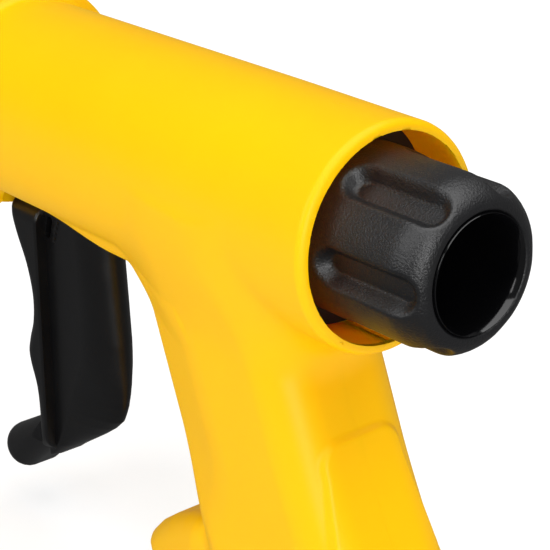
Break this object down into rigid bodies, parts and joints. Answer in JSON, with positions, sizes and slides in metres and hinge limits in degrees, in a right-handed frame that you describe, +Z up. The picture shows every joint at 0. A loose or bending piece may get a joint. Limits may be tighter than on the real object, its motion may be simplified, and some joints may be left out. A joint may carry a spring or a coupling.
{
  "type": "air blast gun",
  "caption": "Pistol-grip air blast gun in a two-shell yellow body with a hooked black trigger, a fluted swivel hose collar at the rear and a front nozzle.",
  "frame": {"origin": "on the barrel axis, in the plane of the barrel's rear rim, inside the hose socket's bore", "axes": "+X along the barrel to the nozzle, +Y to the left side of a person holding the gun, +Z up"},
  "size_m": [0.2122, 0.051, 0.1295],
  "materials": {
    "yellow_abs": "moulded yellow ABS, satin to half gloss",
    "textured_black_nylon": "black glass-filled nylon with a fine spark-eroded texture",
    "satin_black_nylon": "black nylon, satin",
    "gloss_black_acetal": "black acetal, gloss",
    "black_nylon": "black nylon, plain",
    "white_acetal": "natural acetal",
    "turned_brass": "turned",
    "die_cast_zinc": "die cast, tumbled",
    "stainless_steel": "ground",
    "spring_steel": "drawn wire",
    "steel_mesh": "punched",
    "zinc_steel": "zinc plated",
    "drawn_aluminium": "drawn",
    "nitrile": "moulded"
  },
  "bodies": {
    "gun": {"shell_left": "yellow_abs", "shell_right": "yellow_abs", "shell_screws": "zinc_steel", "retainer_plate": "black_nylon", "thrust_washer": "white_acetal", "inlet_spigot": "turned_brass", "spigot_seals": "nitrile", "inlet_screen": "steel_mesh", "valve_body": "die_cast_zinc", "valve_cartridge": "turned_brass", "valve_spring": "spring_steel", "stem_gland": "turned_brass", "stem_seal": "nitrile", "trigger_pin": "stainless_steel", "outlet_tube": "drawn_aluminium", "tube_seals": "nitrile", "nozzle_holder": "black_nylon", "nozzle_seal": "nitrile", "nozzle": "satin_black_nylon", "nozzle_ring": "textured_black_nylon"},
    "hose_swivel": {"swivel_collar": "textured_black_nylon", "socket_liner": "gloss_black_acetal"},
    "trigger": {"trigger": "satin_black_nylon"},
    "valve": {"valve_poppet": "stainless_steel", "poppet_seal": "nitrile"}
  },
  "joints": [
    {"name": "trigger_pivot", "type": "hinge", "parent": "gun", "child": "trigger", "pos_m": [0.104, 0, 0.004], "axis": [0, 1, 0], "range_deg": [0, 11], "stiffness_Nm_per_rad": 1.2, "springref_deg": -8.59},
    {"name": "valve_slide", "type": "slide", "parent": "gun", "child": "valve", "axis": [-1, 0, 0], "range_m": [0, 0.00185], "deforming": ["valve_spring"]},
    {"name": "collar_swivel", "type": "hinge", "parent": "gun", "child": "hose_swivel", "pos_m": [0, 0, 0], "axis": [1, 0, 0], "continuous": true}
  ],
  "couplings": [
    {"joint": "valve_slide", "follows": "trigger_pivot", "m_per_rad": 0.0096361}
  ]
}
